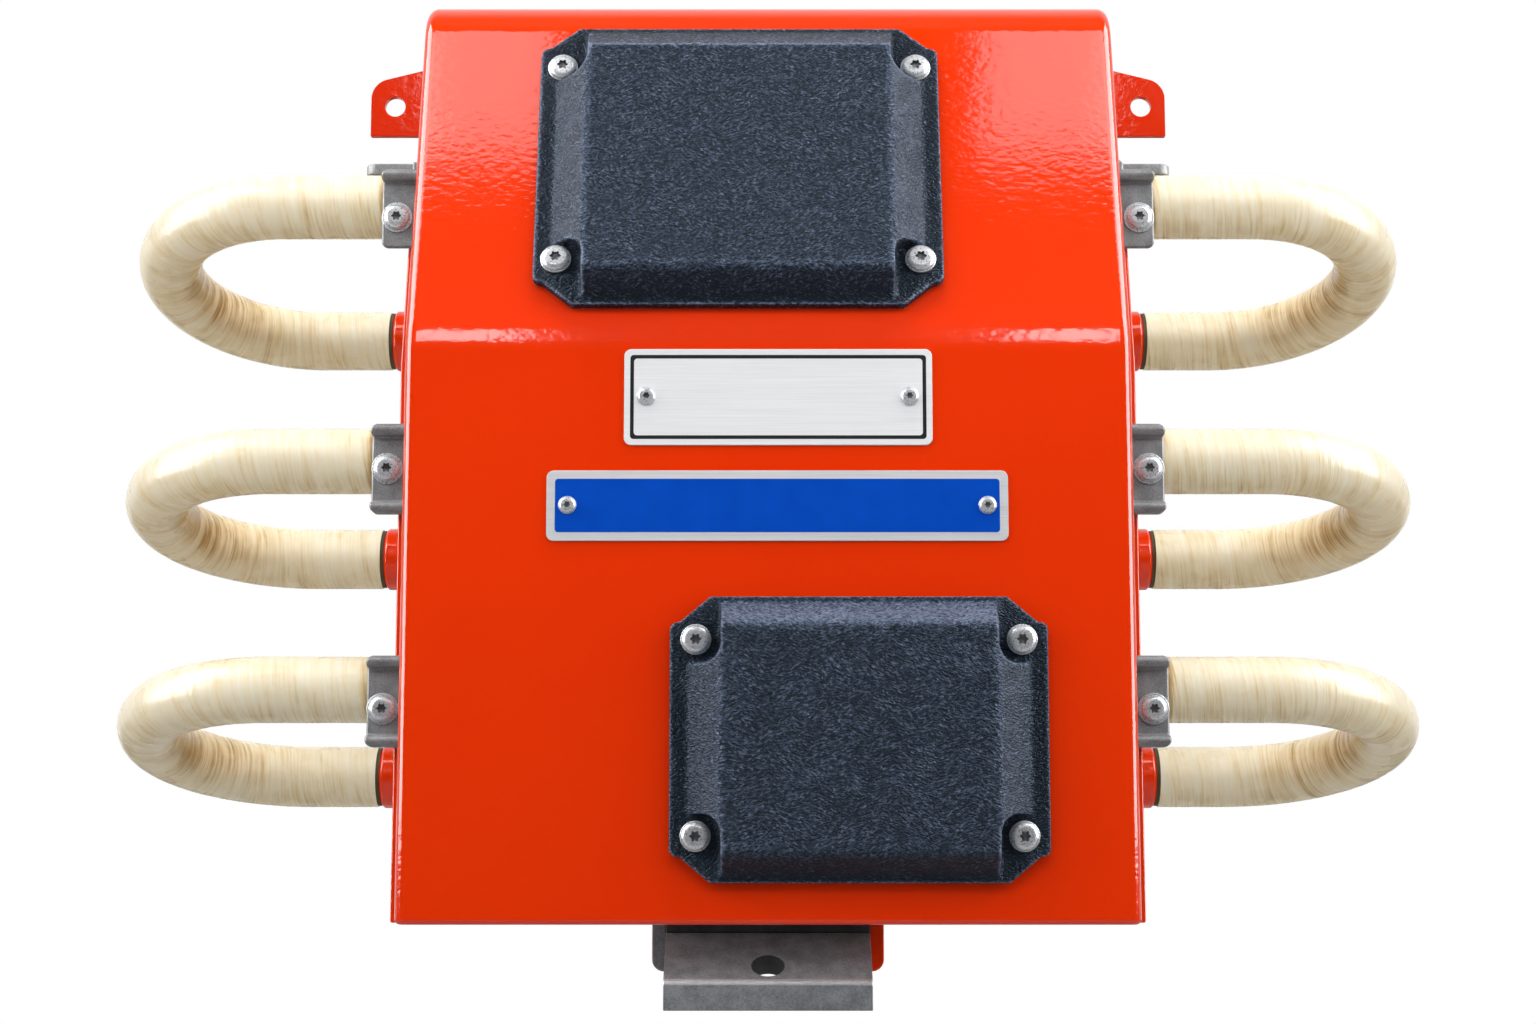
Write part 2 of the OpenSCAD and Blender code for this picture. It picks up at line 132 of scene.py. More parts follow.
def connect(tree, socket, value):
    if isinstance(value, bpy.types.NodeSocket):
        tree.links.new(value, socket)
    else:
        socket.default_value = value


def calculate(tree, operation, first, second):
    node = add(tree, "Math", {"operation": operation})
    connect(tree, node.inputs[0], first)
    connect(tree, node.inputs[1], second)
    return node.outputs[0]


def blend(tree, first, second, share):
    """Value between two others, by a share from zero to one."""
    step = calculate(tree, "MULTIPLY", calculate(tree, "SUBTRACT", second, first), share)
    return calculate(tree, "ADD", first, step)


def weighted(tree, *terms):
    """Sum of values, each with its weight."""
    total = 0.0
    for value, weight in terms:
        total = calculate(tree, "ADD", total, calculate(tree, "MULTIPLY", value, weight))
    return total


def ramp(tree, factor, *stops):
    """Colours along a factor, each stop a position and a colour."""
    node = add(tree, "ValToRGB", Fac=factor)
    elements = node.color_ramp.elements
    while len(elements) < len(stops):
        elements.new(1)
    for element, (position, colour) in zip(elements, stops):
        element.position = position
        element.color = (*colour, 1)
    return node.outputs[0]


def levels(tree, factor, low, high):
    """Value that runs from one level to another over the usual range of a noise."""
    usual = {"From_Min": NOISE_LOW, "From_Max": NOISE_HIGH}
    return add(tree, "MapRange", Value=factor, To_Min=low, To_Max=high, **usual).outputs[0]


def shades(tree, factor, first, second):
    """Colour that runs from one to another over the usual range of a noise."""
    return ramp(tree, factor, (NOISE_LOW, first), (NOISE_HIGH, second))


def stored(tree, name, output="Fac"):
    """Value that the points of a mesh hold under a name."""
    return add(tree, "Attribute", {"attribute_name": name}).outputs[output]


def noise(tree, vector, scale, detail=2.0, distortion=0.0):
    return add(tree, "TexNoise", Vector=vector, Scale=scale, Detail=detail, Distortion=distortion).outputs[0]


def stretched(tree, vector, scale):
    return add(tree, "Mapping", Vector=vector, Scale=scale).outputs[0]


def bump(tree, height, distance, below=None):
    """Normal of a surface with a height on it, the distance in millimetres."""
    node = add(tree, "Bump", Height=height, Distance=distance * MM)
    if below:
        connect(tree, node.inputs["Normal"], below)
    return node.outputs[0]


def new_finish(name):
    """Empty material with one principled shader, its tree and the coordinates of the object."""
    material = bpy.data.materials.new(name)
    material.use_nodes = True
    tree = material.node_tree
    shader = tree.nodes["Principled BSDF"]
    coordinates = add(tree, "TexCoord").outputs["Object"]
    return material, tree, shader, coordinates


def set_shader(tree, shader, **values):
    for name, value in values.items():
        connect(tree, shader.inputs[name.replace("_", " ")], value)


# Finishes

def orange_paint(name, deep, pale, gloss):
    """Powder coat with a fine orange-peel surface and a faint drift in colour."""
    material, tree, shader, where = new_finish(name)
    drift = noise(tree, where, scale=9.0)
    peel = noise(tree, stretched(tree, where, scale=(0.6, 1.0, 1.0)), scale=440.0, detail=1.5)
    fine = noise(tree, where, scale=1700.0, detail=1.0)
    set_shader(
        tree, shader,
        Base_Color=shades(tree, drift, deep, pale),
        Roughness=levels(tree, peel, low=0.07, high=0.10),
        Specular_IOR_Level=gloss,
        Normal=bump(tree, fine, distance=0.002, below=bump(tree, peel, distance=0.07)),
    )
    return material


def slanting_grain(tree, where, turn):
    """Noise of short wrinkles that slant by an angle across the front."""
    slant = {"vector_type": "TEXTURE"}
    turned = add(tree, "Mapping", slant, Vector=where, Rotation=(0.0, turn, 0.0), Scale=(1.0, 1.0, 0.42))
    return noise(tree, turned.outputs[0], scale=620.0, detail=1.5, distortion=0.6)


def grey(level):
    return (level, level, level)


def black_plastic():
    """Moulded plastic with a leather-like grain of short wrinkles that slant one way or the other, painted
    shade on the low flange and a painted sheen on edges and upward faces.
    """
    material, tree, shader, where = new_finish("black_plastic")
    slant = 0.35
    hollow = (0.0006, 0.001, 0.002)
    body = (0.028, 0.038, 0.062)
    sheen_grey = (0.15, 0.185, 0.265)
    patches = ramp(tree, noise(tree, where, scale=60.0, detail=1.0), (0.44, grey(0)), (0.56, grey(1)))
    wrinkles = blend(tree, slanting_grain(tree, where, slant), slanting_grain(tree, where, -slant), patches)
    pits = noise(tree, where, scale=1700.0, detail=1.0)
    # Painted shade: darker low down on the flange
    rise = stored(tree, "rise")
    # Painted sheen: paler on rounded edges and upward faces
    painted_sheen = stored(tree, "painted_sheen")
    light = weighted(tree, (wrinkles, 1.0), (rise, 0.1), (painted_sheen, 0.55), (1.0, -0.1))
    relief = weighted(tree, (wrinkles, 1.0), (pits, 0.15))
    set_shader(
        tree, shader,
        Base_Color=ramp(tree, light, (0.46, hollow), (0.60, body), (0.85, sheen_grey)),
        Roughness=levels(tree, wrinkles, low=0.5, high=0.36),
        Specular_IOR_Level=0.4,
        Specular_Tint=(0.52, 0.72, 1.0, 1.0),
        Normal=bump(tree, relief, distance=1.1),
    )
    return material


def tape():
    """Varnished tape in fine wraps, with painted shade in a deep yellow-brown inside the bend, underneath and
    beside the clamp.
    """
    material, tree, shader, _ = new_finish("taped_conductor")
    brown = (0.46, 0.27, 0.085)
    honey = (0.84, 0.66, 0.38)
    cream = (0.95, 0.82, 0.575)
    ivory = (0.97, 0.89, 0.71)
    wound = stored(tree, "wound", "Vector")
    painted_shade = stored(tree, "painted_shade")
    lines = noise(tree, stretched(tree, wound, (900.0, 40.0, 40.0)), scale=1.0, detail=3.0, distortion=0.5)
    bands = noise(tree, stretched(tree, wound, (210.0, 14.0, 14.0)), scale=1.0, distortion=0.4)
    mottle = noise(tree, wound, scale=70.0)
    # Painted shade: its share pulls the tone down towards brown
    tone = weighted(tree, (lines, 0.45), (bands, 0.3), (mottle, 0.25), (painted_shade, -0.26))
    set_shader(
        tree, shader,
        Base_Color=ramp(tree, tone, (0.18, brown), (0.33, honey), (0.45, cream), (0.62, ivory)),
        Roughness=levels(tree, mottle, low=0.2, high=0.36),
        Specular_IOR_Level=0.3,
        Normal=bump(tree, lines, distance=0.16, below=bump(tree, bands, distance=0.16)),
        Coat_Weight=0.14,
        Coat_Roughness=0.18,
    )
    return material


def steel(name, dark, light, rough, grain, metallic=0.9):
    """Steel with a cloudy sheen and a fine grain, its height in millimetres."""
    material, tree, shader, where = new_finish(name)
    rougher = 0.14
    clouds = noise(tree, where, scale=160.0, detail=3.0)
    grains = noise(tree, where, scale=1300.0, detail=1.5)
    sheen = weighted(tree, (clouds, 0.5), (grains, 0.5))
    set_shader(
        tree, shader,
        Base_Color=ramp(tree, sheen, (0.38, dark), (0.62, light)),
        Roughness=levels(tree, grains, low=rough, high=rough + rougher),
        Metallic=metallic,
        Normal=bump(tree, grains, grain),
    )
    return material


def brushed_plate(name, dark, light):
    """Satin aluminium with a faint brushing along its length."""
    material, tree, shader, where = new_finish(name)
    brushing = noise(tree, stretched(tree, where, (30.0, 1500.0, 2600.0)), scale=1.0)
    set_shader(
        tree, shader,
        Base_Color=shades(tree, brushing, dark, light),
        Roughness=levels(tree, brushing, low=0.36, high=0.48),
        Specular_IOR_Level=0.15,
        Normal=bump(tree, brushing, distance=0.008),
    )
    return material


def lacquer(name, deep, pale, rough, gloss=0.25):
    """Even lacquer or ink with a slight cloudiness and a fine texture."""
    material, tree, shader, where = new_finish(name)
    rougher = 0.1
    clouds = noise(tree, where, scale=90.0)
    texture = noise(tree, where, scale=1300.0, detail=1.0)
    set_shader(
        tree, shader,
        Base_Color=shades(tree, clouds, deep, pale),
        Roughness=levels(tree, texture, low=rough, high=rough + rougher),
        Specular_IOR_Level=gloss,
        Normal=bump(tree, texture, distance=0.01),
    )
    return material


ORANGE = orange_paint(
    "orange_paint", deep=(0.86, 0.0345, 0.0010), pale=(0.90, 0.0395, 0.0012), gloss=0.5,
)
# Painted shade: a darker copy of the orange for the back plate and its ears, set back behind the housing
SHADED_ORANGE = orange_paint(
    "back_plate_painted_shade", deep=(0.64, 0.021, 0.0008), pale=(0.67, 0.024, 0.0009), gloss=0.2,
)
PLASTIC = black_plastic()
TAPE = tape()
ZINC = steel(
    "zinc_steel", dark=(0.16, 0.163, 0.168), light=(0.27, 0.273, 0.28), rough=0.46, grain=0.04, metallic=0.4,
)
SCREW_ZINC = steel(
    "screw_zinc", dark=(0.57, 0.585, 0.61), light=(0.64, 0.655, 0.68),
    rough=0.24, grain=0.0006, metallic=0.55,
)
# Painted shade: a darker steel for the inside of the screws' sockets
SOCKET_SHADE = steel(
    "screw_socket_painted_shade", dark=(0.16, 0.165, 0.175), light=(0.24, 0.245, 0.26), rough=0.32, grain=0.003,
)
IRON = steel(
    "foot_steel", dark=(0.14, 0.147, 0.158), light=(0.24, 0.247, 0.26), rough=0.5, grain=0.05, metallic=0.4,
)
# Painted highlight: a paler steel on the foot's front bevel
BEVEL_HIGHLIGHT = steel(
    "foot_bevel_painted_highlight", dark=(0.42, 0.425, 0.43), light=(0.54, 0.545, 0.55), rough=0.4, grain=0.01,
)
# Painted shade: near-black steel in the foot's hole and on the spacer under the housing
SHADE_IRON = steel(
    "foot_painted_shade", dark=(0.022, 0.022, 0.023), light=(0.045, 0.045, 0.047), rough=0.5, grain=0.05, metallic=0.3,
)
SILVER = brushed_plate("plate_silver", dark=(0.79, 0.795, 0.805), light=(0.86, 0.865, 0.875))
DULL_SILVER = brushed_plate("plate_border", dark=(0.58, 0.59, 0.605), light=(0.66, 0.67, 0.685))
BLUE = lacquer("plate_blue", deep=(0.0006, 0.064, 0.48), pale=(0.0010, 0.072, 0.53), rough=0.3, gloss=0.05)
BLACK_INK = lacquer("border_ink", deep=(0.006, 0.006, 0.007), pale=(0.012, 0.012, 0.014), rough=0.45)
RUBBER = lacquer("seal_rubber", deep=(0.075, 0.055, 0.025), pale=(0.11, 0.08, 0.04), rough=0.6)


# Mesh helpers

CREASE = math.radians(30)
FLAT = math.radians(0.4)
WELD = 0.002 * MM
ROUND_STEPS = 3

# Widths of the rounded edges, in millimetres
PLATE_ROUND = 0.3
SMALL_ROUND = 0.5
BAR_ROUND = 0.8
CLAMP_ROUND = 1.2
BACK_ROUND = 1.3


def make_piece(name, mesh, material, replaces=()):
    """Object from a mesh, with soft shading and a finish, held by the root body, with the imported nodes it
    replaces hidden.
    """
    piece = bpy.data.objects.new(name, mesh)
    bpy.context.scene.collection.objects.link(piece)
    mesh.materials.clear()
    mesh.materials.append(material)
    mesh.shade_smooth()
    mesh.set_sharp_from_angle(angle=CREASE)
    even = piece.modifiers.new("even_shading", "WEIGHTED_NORMAL")
    even.keep_sharp = True
    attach(piece, "root")
    if replaces:
        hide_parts(*replaces)
    return piece


def finish_faces(piece, material, chosen):
    """Give a second finish to the faces that a test on a face picks."""
    mesh = piece.data
    mesh.materials.append(material)
    for face in mesh.polygons:
        if chosen(face):
            face.material_index = len(mesh.materials) - 1


def mesh_from(name, points, faces):
    mesh = bpy.data.meshes.new(name)
    mesh.from_pydata(points, [], faces)
    mesh.validate()
    mesh.update()
    return mesh


def softened(node, width, material, reshape=None):
    """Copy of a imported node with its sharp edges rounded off, after a change of its shape if asked for."""
    shape = bmesh.new()
    shape.from_mesh(frame["nodes"][node].data)
    bmesh.ops.remove_doubles(shape, verts=shape.verts, dist=WELD)
    bmesh.ops.dissolve_limit(shape, angle_limit=FLAT, verts=shape.verts, edges=shape.edges)
    if reshape:
        reshape(shape)
    sharp = [edge for edge in shape.edges if edge.is_manifold and edge.calc_face_angle() > CREASE]
    bmesh.ops.bevel(
        shape, geom=sharp, offset=width * MM, offset_type="OFFSET", segments=ROUND_STEPS, profile=0.5,
        affect="EDGES", clamp_overlap=True,
    )
    mesh = bpy.data.meshes.new("soft_" + node)
    shape.to_mesh(mesh)
    shape.free()
    return make_piece("soft_" + node, mesh, material, (node,))


def tube_faces(rows, count, closed_ends):
    """Faces between rows of points that go round, with a face at each end if asked for."""
    faces = [
        (row * count + column, row * count + (column + 1) % count,
         (row + 1) * count + (column + 1) % count, (row + 1) * count + column)
        for row in range(rows - 1) for column in range(count)
    ]
    if closed_ends:
        faces.append(tuple(reversed(range(count))))
        faces.append(tuple(range((rows - 1) * count, rows * count)))
    return faces


# Folded cover

def arc(centre, radius, start, end, steps):
    """Points of an arc in a plane, with its angles in degrees."""
    angles = [math.radians(start + (end - start) * step / steps) for step in range(steps + 1)]
    return [(centre[0] + radius * math.cos(angle), centre[1] + radius * math.sin(angle)) for angle in angles]


def cover_section(inset):
    """Section of the cover, out from its face and across, with everything outside drawn in by the inset."""
    half = HALF_WIDTH - inset
    inner = HALF_WIDTH - SHEET
    middle = HALF_WIDTH - EDGE_RADIUS
    radius = EDGE_RADIUS - inset
    steps = 10
    left = arc((-EDGE_RADIUS, -middle), radius, -90, 0, steps)
    right = arc((-EDGE_RADIUS, middle), radius, 0, 90, steps)
    return [
        (-RETURN_DEPTH, -inner), (-RETURN_DEPTH, -half), *left, *right, (-RETURN_DEPTH, half),
        (-RETURN_DEPTH, inner), (-SHEET, inner), (-SHEET, -inner),
    ]


def cover_places():
    """Places along the cover from the bottom edge to the back: depth, height, lean and inset."""
    rim_steps = 6
    fold_steps = 14
    top_steps = 24
    tangent = FOLD_RADIUS * math.tan(LEAN / 2)
    top_start = HEIGHT - TOP_RADIUS + TOP_RADIUS * math.sin(LEAN)
    panel_length = (top_start - FOLD_HEIGHT) / math.cos(LEAN)
    top_depth = panel_length * math.sin(LEAN) + TOP_RADIUS * math.cos(LEAN)
    rim = arc((RIM_RADIUS, RIM_RADIUS), RIM_RADIUS, 270, 180, rim_steps)
    places = [(0, height, 0, inset) for inset, height in rim]
    bends = (
        (FOLD_RADIUS, FOLD_HEIGHT - tangent, FOLD_RADIUS, 0, LEAN, fold_steps),
        (top_depth, HEIGHT - TOP_RADIUS, TOP_RADIUS, LEAN, math.pi / 2, top_steps),
    )
    for depth, height, radius, start, end, steps in bends:
        for step in range(steps + 1):
            lean = start + (end - start) * step / steps
            places.append((depth - radius * math.cos(lean), height + radius * math.sin(lean), lean, 0))
    places.append((DEPTH, HEIGHT, math.pi / 2, 0))
    return places


def front_cover():
    places = cover_places()
    points = []
    for depth, height, lean, inset in places:
        for out, across in cover_section(inset):
            reach = min(out, -inset)
            points.append(place(across, depth - reach * math.cos(lean), height + reach * math.sin(lean)))
    count = len(cover_section(0))
    mesh = mesh_from("soft_front_cover", points, tube_faces(len(places), count, True))
    make_piece("soft_front_cover", mesh, ORANGE, ("front_cover",))


# Conductor loops, with the tape's lengths in millimetres

TAPE_DIAMETER = 28
RING_STEP = 0.55
RING_POINTS = 40
WRAP_PITCH = 2.6
WRAP_LIFT = (0.02, 0.13)
WRAP_EDGE = 0.25
WRAP_KINDS = 97
WRAP_STARTS = 4
CLAMP_EDGE = 11.5
CLAMP_SHADE = 4
UNDER_SHADE = 0.45

# Seeds of the winding's chance: the first of each side, and the step from one level to the next
FIRST_SEED = {"left": 4, "right": 5}
SEED_STEP = 10


def stray(angle, run):
    """Stray of the tape's edges along the conductor: a slow wave and a quicker one."""
    slow_height = 0.5
    slow_length = 9
    quick_height = 0.3
    quick_length = 5
    slow = slow_height * math.sin(2 * angle + run / slow_length)
    quick = quick_height * math.sin(3 * angle - run / quick_length)
    return slow + quick


def wrap_height(lifts, phase):
    """Height of the tape at a phase along the winding: a short rise at each edge, then a slow fall."""
    turn = math.floor(phase)
    part = phase - turn
    rise = min(part / WRAP_EDGE, 1.0)
    fall = 1.0 - max(part - WRAP_EDGE, 0) / (1 - WRAP_EDGE)
    return lifts[turn % len(lifts)] * rise * fall


def loop_path(node, rear_start):
    """Stations along a loop: place, outward direction in the bend's plane, distance and bend share."""
    low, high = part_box(node)
    sign = 1 if high.x > 0 else -1
    width = TAPE_DIAMETER * MM
    middle = (low + high) / 2
    reach = max(abs(low.x), abs(high.x))
    start = min(abs(low.x), abs(high.x))
    front = Vector((0, (low.y - high.y + width) / 2, (high.z - low.z - width) / 2))
    radius = front.length
    bend_x = reach - width / 2 - radius
    across = front.normalized()
    sideways = sign * RIGHT
    centre = Vector((sign * bend_x, middle.y, middle.z))
    turn_length = math.pi * radius
    front_length = bend_x - start
    total = front_length + turn_length + bend_x - rear_start
    count = round(total / (RING_STEP * MM))
    stations = []
    for step in range(count + 1):
        distance = total * step / count
        turned = min(max((distance - front_length) / radius, 0), math.pi)
        outward = math.cos(turned) * across + math.sin(turned) * sideways
        along = sideways * (min(distance - front_length, 0) - max(distance - front_length - turn_length, 0))
        stations.append((centre + radius * outward + along, outward, distance, math.sin(turned)))
    return stations, across.cross(sideways)


def conductor_loop(level, side, seed):
    """Taped loop whose points hold the winding's coordinates and the share of painted shade on the tape."""
    node = f"{level}_{side}_loop"
    chance = random.Random(seed)
    lifts = [chance.uniform(*WRAP_LIFT) for _ in range(WRAP_KINDS)]
    seal_low, seal_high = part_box(f"{side}_seal_rings")
    rear_start = max(abs(seal_low.x), abs(seal_high.x))
    stations, plane_normal = loop_path(node, rear_start)
    points, wound, painted_shade = [], [], []
    base = TAPE_DIAMETER / 2 - sum(WRAP_LIFT) / 4
    seam = SIDES[side] * math.pi / 2
    for middle, outward, distance, bend in stations:
        run = distance / MM
        near_clamp = max(1 - abs(run - CLAMP_EDGE) / CLAMP_SHADE, 0)
        for corner in range(RING_POINTS):
            turn = corner / RING_POINTS
            angle = seam + math.tau * turn
            radial = math.cos(angle) * outward + math.sin(angle) * plane_normal
            phase = (run + stray(angle, run)) / WRAP_PITCH + WRAP_STARTS * turn
            radius = (base + wrap_height(lifts, phase)) * MM
            points.append(middle + radial * radius)
            lead = WRAP_STARTS * WRAP_PITCH * turn * MM
            wound.append((distance + lead + seed, math.cos(angle) * base * MM, math.sin(angle) * base * MM))
            # Painted shade, deeper in colour, on the underside, inside the bend and beside the clamp's edge
            shade_under = UNDER_SHADE * max(-radial.z, 0)
            painted_shade.append(max(max(-math.cos(angle), 0) * bend, near_clamp, shade_under))
    mesh = mesh_from("taped_" + node, points, tube_faces(len(stations), RING_POINTS, True))
    attribute = mesh.attributes.new("wound", "FLOAT_VECTOR", "POINT")
    attribute.data.foreach_set("vector", [value for point in wound for value in point])
    attribute = mesh.attributes.new("painted_shade", "FLOAT", "POINT")
    attribute.data.foreach_set("value", painted_shade)
    make_piece("taped_" + node, mesh, TAPE, (node,))


# Terminal covers, with their flange, the border above the raised block and the depth of the painted sheen on
# edges in millimetres

FLANGE = 5
END_BORDER = 2.2
SHEEN_DEPTH = 0.3


def evaluated_mesh(mesh, kind, **settings):
    """Mesh that a modifier makes of another one."""
    draft = bpy.data.objects.new("draft", mesh)
    bpy.context.scene.collection.objects.link(draft)
    modifier = draft.modifiers.new(kind, kind)
    for name, value in settings.items():
        setattr(modifier, name, value)
    result = bpy.data.meshes.new_from_object(draft.evaluated_get(bpy.context.evaluated_depsgraph_get()))
    bpy.data.objects.remove(draft)
    return result


def terminal_cover(node, lean, voxel, end_slope, top_sheen):
    """Copy of a moulded cover, remeshed in its own frame and smoothed, with a painted sheen on edges and
    upward faces and the height above the flange for painted shade.
    """
    rounds = 6
    upright = Matrix.Rotation(lean, 4, "X")
    mesh = frame["nodes"][node].data.copy()
    mesh.transform(upright)
    mesh = evaluated_mesh(mesh, "REMESH", mode="VOXEL", voxel_size=voxel * MM)
    front = min(point.co.y for point in mesh.vertices)
    top = max(point.co.z for point in mesh.vertices)
    flange_face = max(point.co.y for point in mesh.vertices) - FLANGE * MM
    block = flange_face - front
    for point in mesh.vertices:
        below_top = top - END_BORDER * MM - point.co.z
        limit = flange_face - block * max(below_top, 0) / (end_slope * MM)
        if point.co.y < flange_face:
            point.co.y = max(point.co.y, limit)
    sharp = [point.co.copy() for point in mesh.vertices]
    mesh = evaluated_mesh(mesh, "SMOOTH", iterations=rounds)
    # Painted sheen: paler where smoothing rounds an edge off, and on faces that look up
    lost = [(before - point.co).dot(point.normal) for before, point in zip(sharp, mesh.vertices)]
    sheen_upward = [top_sheen * point.normal.z for point in mesh.vertices]
    painted_sheen = [min(max(depth / (SHEEN_DEPTH * MM), upward_share, 0), 1) for depth, upward_share in zip(lost, sheen_upward)]
    mesh.attributes.new("painted_sheen", "FLOAT", "POINT").data.foreach_set("value", painted_sheen)
    # Height above the flange, used for painted shade on the flange
    rise = [min(max((flange_face - point.co.y) / block, 0), 1) for point in mesh.vertices]
    mesh.attributes.new("rise", "FLOAT", "POINT").data.foreach_set("value", rise)
    mesh.transform(upright.inverted())
    mesh.name = "moulded_" + node
    make_piece("moulded_" + node, mesh, PLASTIC, (node,))


# Clamps

NECK_FALL = 3.6


def clamp(level, side):
    """Zinc-plated clamp; the neck of an upper one slopes down from its tongue to the plate."""
    node = f"{level}_{side}_clamp"
    low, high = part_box(node)
    middle = (low + high) / 2

    def slope_neck(shape):
        whole = shape.verts[:] + shape.edges[:] + shape.faces[:]
        bmesh.ops.bisect_plane(shape, geom=whole, plane_co=middle, plane_no=FRONT_OUT)
        for point in shape.verts:
            if point.co.y < middle.y - MM and point.co.z > high.z - MM:
                point.co.z -= NECK_FALL * MM

    reshape = slope_neck if level == "upper" else None
    softened(node, CLAMP_ROUND, ZINC, reshape)


# Screws

SCREW_POINTS = 48
RIM_STEPS = 4
LOBES = 6

# A button-head screw of standard size and the height of a washer, in millimetres
WASHER_HEIGHT = 1.0
HEAD_RADIUS = 6.2
HEAD_RIM = 0.8
DOME_RADIUS = 5.8
DOME_HEIGHT = 2.2
DOME_TOP = 3.3
SOCKET_RADIUS = 2.0
SOCKET_LOBE = 0.35
SOCKET_DEPTH = 1.4


def screw_rows():
    """Rows of a screw's head, as radius, lobe depth and height, and the number of the first socket row."""
    soft = 0.3
    dome_steps = 8
    rim = arc((HEAD_RADIUS - soft, HEAD_RIM - soft), soft, 0, 90, RIM_STEPS)
    rows = [(HEAD_RADIUS, 0, 0), *((radius, 0, height) for radius, height in rim)]
    for step in range(dome_steps + 1):
        angle = math.pi / 2 * step / dome_steps
        radius = DOME_TOP + (DOME_RADIUS - DOME_TOP) * math.cos(angle)
        rows.append((radius, 0, HEAD_RIM + DOME_HEIGHT * math.sin(angle)))
    top = HEAD_RIM + DOME_HEIGHT
    first_socket = len(rows)
    rows.append((SOCKET_RADIUS, SOCKET_LOBE, top))
    rows.append((SOCKET_RADIUS - soft / 2, SOCKET_LOBE, top - soft))
    rows.append((SOCKET_RADIUS - soft / 2, SOCKET_LOBE, top - SOCKET_DEPTH))
    rows.append((soft, 0, top - SOCKET_DEPTH - soft))
    return rows, first_socket


def washer_rows(radius):
    """Rows of a flat washer with a soft rim."""
    soft_share = 0.3
    soft = WASHER_HEIGHT * soft_share
    rim = arc((radius - soft, WASHER_HEIGHT - soft), soft, 0, 90, RIM_STEPS)
    return [(radius, 0, 0), *((reach, 0, height) for reach, height in rim), (radius / 2, 0, WASHER_HEIGHT)]


def turned_shape(points, faces, rows, size, at, outward):
    """Add rings to the lists, seated at a point with their axis outwards, and say where their faces start."""
    turn = outward.to_track_quat("Z", "Y")
    first_point = len(points)
    first_face = len(faces)
    for ring, lobe, height in rows:
        for corner in range(SCREW_POINTS):
            angle = math.tau * corner / SCREW_POINTS
            reach = ring + lobe * math.cos(LOBES * angle)
            local = Vector((reach * math.cos(angle), reach * math.sin(angle), height))
            points.append(at + turn @ (local * size))
    for face in tube_faces(len(rows), SCREW_POINTS, True):
        faces.append(tuple(first_point + index for index in face))
    return first_face


def screw_set(name, seats, radius, washer_radius=0):
    """One piece with a screw at each seat, a seat being a point and its outward direction."""
    points, faces, sockets = [], [], []
    rows, first_socket = screw_rows()
    for at, outward in seats:
        if washer_radius:
            turned_shape(points, faces, washer_rows(washer_radius), MM, at, outward)
            at = at + outward * WASHER_HEIGHT * MM
        first_face = turned_shape(points, faces, rows, radius / HEAD_RADIUS * MM, at, outward)
        sockets.append(range(first_face + first_socket * SCREW_POINTS, len(faces)))
    piece = make_piece(name, mesh_from(name, points, faces), SCREW_ZINC)
    # Painted shade inside the sockets
    finish_faces(piece, SOCKET_SHADE, lambda face: any(face.index in socket for socket in sockets))


# Thickness of the plates and clamps, and the depth of the upper clamps' webs behind the front panel
PLATE = 1
CLAMP_THICKNESS = 3
UPPER_WEB_DEPTH = 44.7


def cover_screws():
    """Four screws in the recesses of each terminal cover."""
    upper_x = -12.4
    upper_along = 80
    upper_half_w = 75.8
    upper_half_h = 47.1
    upper_head = 6.4
    lower_x = 36.7
    lower_z = 74.5
    lower_half_w = 65.8
    lower_half_h = 39.4
    lower_head = 6.2
    upper, lower = [], []
    for side in SIDES.values():
        for end in (-1, 1):
            on_panel = on_leaning_panel(upper_x + side * upper_half_w, upper_along + end * upper_half_h)
            upper.append((on_panel + PANEL_OUT * FLANGE * MM, PANEL_OUT))
            on_front = place(lower_x + side * lower_half_w, -FLANGE, lower_z + end * lower_half_h)
            lower.append((on_front, FRONT_OUT))
    screw_set("upper_cover_screws", upper, upper_head)
    screw_set("lower_cover_screws", lower, lower_head)


def clamp_screws():
    """One screw with a washer in the plate of each clamp."""
    head = 5.7
    washer = 6.6
    sideways = 160.3
    heights = {"lower": 88, "middle": 189, "upper": 301}
    seats = []
    for level, height in heights.items():
        for side, sign in SIDES.items():
            depth = (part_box(f"{level}_{side}_clamp")[1].y - FRONT) / MM - CLAMP_THICKNESS
            if level == "upper":
                depth = UPPER_WEB_DEPTH
            seats.append((place(sign * sideways, depth, height), FRONT_OUT))
    screw_set("clamp_screws", seats, head, washer)


def plate_screws():
    """Two small screws in each plate."""
    silver_z = 214.3
    silver_places = (-49.9, 58.1)
    silver_head = 3.9
    blue_z = 169.2
    blue_places = (-81.9, 89.6)
    blue_head = 3.7
    silver = [(place(x, -PLATE, silver_z), FRONT_OUT) for x in silver_places]
    blue = [(place(x, -PLATE, blue_z), FRONT_OUT) for x in blue_places]
    screw_set("silver_plate_screws", silver, silver_head)
    screw_set("blue_plate_screws", blue, blue_head)


# Plates

PLATE_RADIUS = 3


def round_outline(width, height, radius, inset):
    """Outline of a rectangle with round corners, drawn in by the inset."""
    steps = 6
    smallest = 1.4
    corner = max(radius - inset, smallest)
    half_w = width / 2 - inset - corner
    half_h = height / 2 - inset - corner
    points = []
    for x, z, start in ((1, 1, 0), (-1, 1, 90), (-1, -1, 180), (1, -1, 270)):
        points += arc((x * half_w, z * half_h), corner, start, start + 90, steps)
    return points


